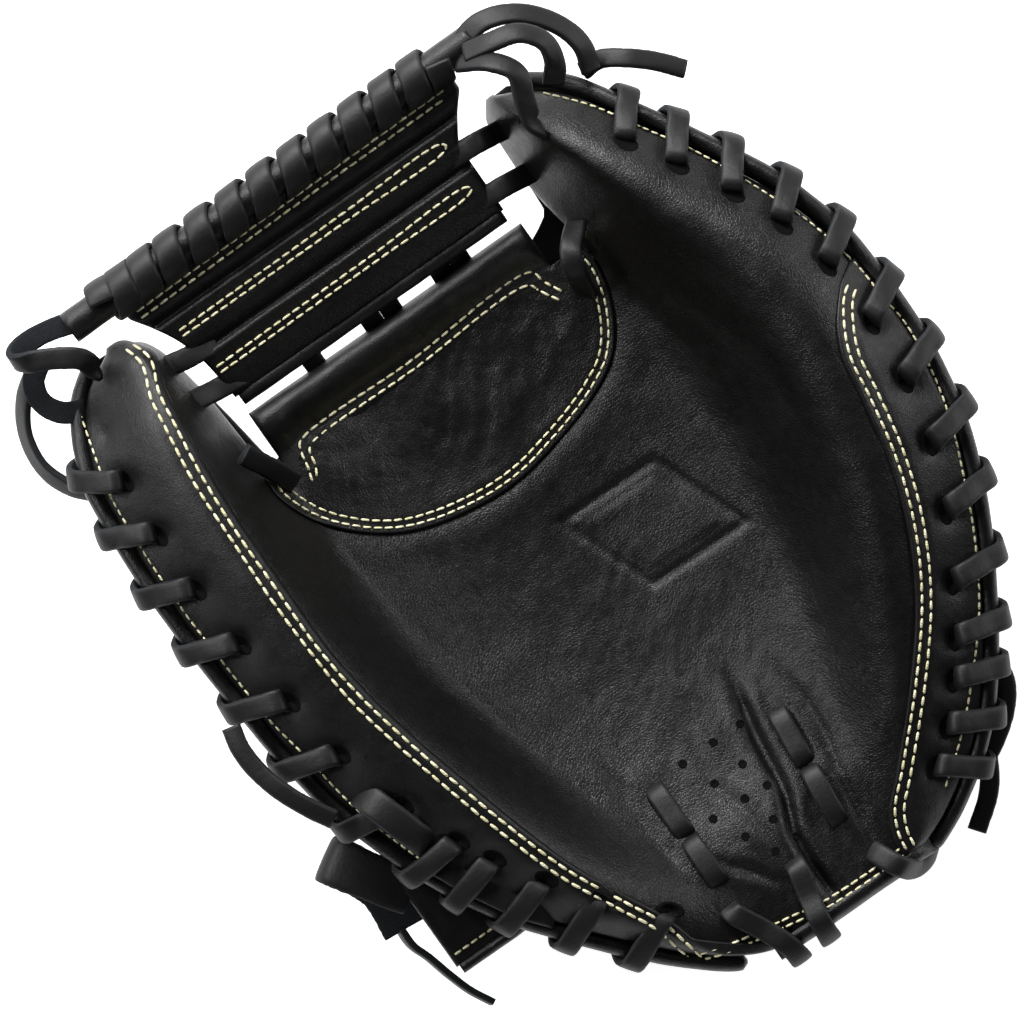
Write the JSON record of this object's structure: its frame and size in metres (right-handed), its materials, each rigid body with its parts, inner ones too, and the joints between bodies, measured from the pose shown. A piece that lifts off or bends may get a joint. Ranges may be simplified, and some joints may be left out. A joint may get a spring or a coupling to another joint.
{
  "type": "baseball glove",
  "caption": "Catcher's mitt for the left hand: deep padded round pocket, laced rim, single-piece web with a laced top rail, wrist strap, on its back with the palm up.",
  "frame": {"origin": "middle of the plan, on the surface that the mitt lies on", "axes": "+X from the thumb to the little finger, +Y from the heel to the web, +Z out of the palm"},
  "size_m": [0.2523, 0.2977, 0.0911],
  "materials": {
    "palm_leather": "satin, fine pebble grain",
    "panel_leather": "satin, smooth grain",
    "edge_leather": "semi-gloss piping",
    "rawhide_lace": "matt, suede on the under side",
    "felt": "wool felt",
    "lining": "soft lining leather"
  },
  "bodies": {
    "finger_half": {"palm_leather": "palm_leather", "pocket_panel": "palm_leather", "pocket_lip": "panel_leather", "pocket_end_wall": "panel_leather", "palm_pad": "felt", "finger_pad": "felt", "finger_panel": "panel_leather", "finger_front_panel": "palm_leather", "finger_inner_wall": "panel_leather", "finger_welt": "edge_leather", "finger_edge_lace": "rawhide_lace", "finger_back_shell": "panel_leather", "heel_binding": "edge_leather", "hand_lining": "lining", "back_lining": "lining", "little_finger_loop": "panel_leather", "wrist_strap": "panel_leather", "strap_edge_roll": "edge_leather", "strap_pad": "felt", "web_front_leather": "palm_leather", "web_back_leather": "panel_leather", "web_bottom_roll": "edge_leather", "web_top_rail": "panel_leather", "web_wrap_lace": "rawhide_lace", "web_lace_thumb_upper": "rawhide_lace", "web_lace_thumb_lower": "rawhide_lace", "web_lace_finger_upper": "rawhide_lace", "web_lace_finger_lower": "rawhide_lace", "web_lace_foot_thumb": "rawhide_lace", "web_lace_foot_middle": "rawhide_lace", "web_lace_foot_finger": "rawhide_lace", "palm_lace_finger": "rawhide_lace", "heel_lace_finger": "rawhide_lace", "finger_tip_loop_outer": "rawhide_lace", "finger_tip_loop_middle": "rawhide_lace", "finger_tip_loop_inner": "rawhide_lace", "lip_knot_finger": "rawhide_lace", "lace_end_finger": "rawhide_lace", "lace_end_heel": "rawhide_lace"},
    "thumb_half": {"thumb_panel": "panel_leather", "thumb_inner_panel": "palm_leather", "thumb_inner_wall": "panel_leather", "thumb_welt": "edge_leather", "thumb_edge_lace": "rawhide_lace", "thumb_back_shell": "panel_leather", "thumb_pad": "felt", "thumb_loop": "panel_leather", "thumb_tip_lace": "rawhide_lace", "thumb_tip_loop": "rawhide_lace", "palm_lace_thumb": "rawhide_lace", "heel_lace_thumb": "rawhide_lace", "strap_lace_loop": "rawhide_lace", "lace_tail_thumb_upper": "rawhide_lace", "lace_tail_thumb_lower": "rawhide_lace", "lip_knot_thumb": "rawhide_lace"}
  },
  "joints": [
    {"name": "pocket_close", "type": "hinge", "parent": "finger_half", "child": "thumb_half", "pos_m": [-0.00635, -0.14225, 0.058], "axis": [-0.2481, 0.967, 0.0584], "range_deg": [0, 40], "deforming": ["palm_leather", "pocket_panel", "heel_binding", "wrist_strap", "strap_edge_roll", "web_lace_thumb_upper", "web_lace_thumb_lower", "thumb_tip_lace", "lip_knot_thumb"]}
  ]
}
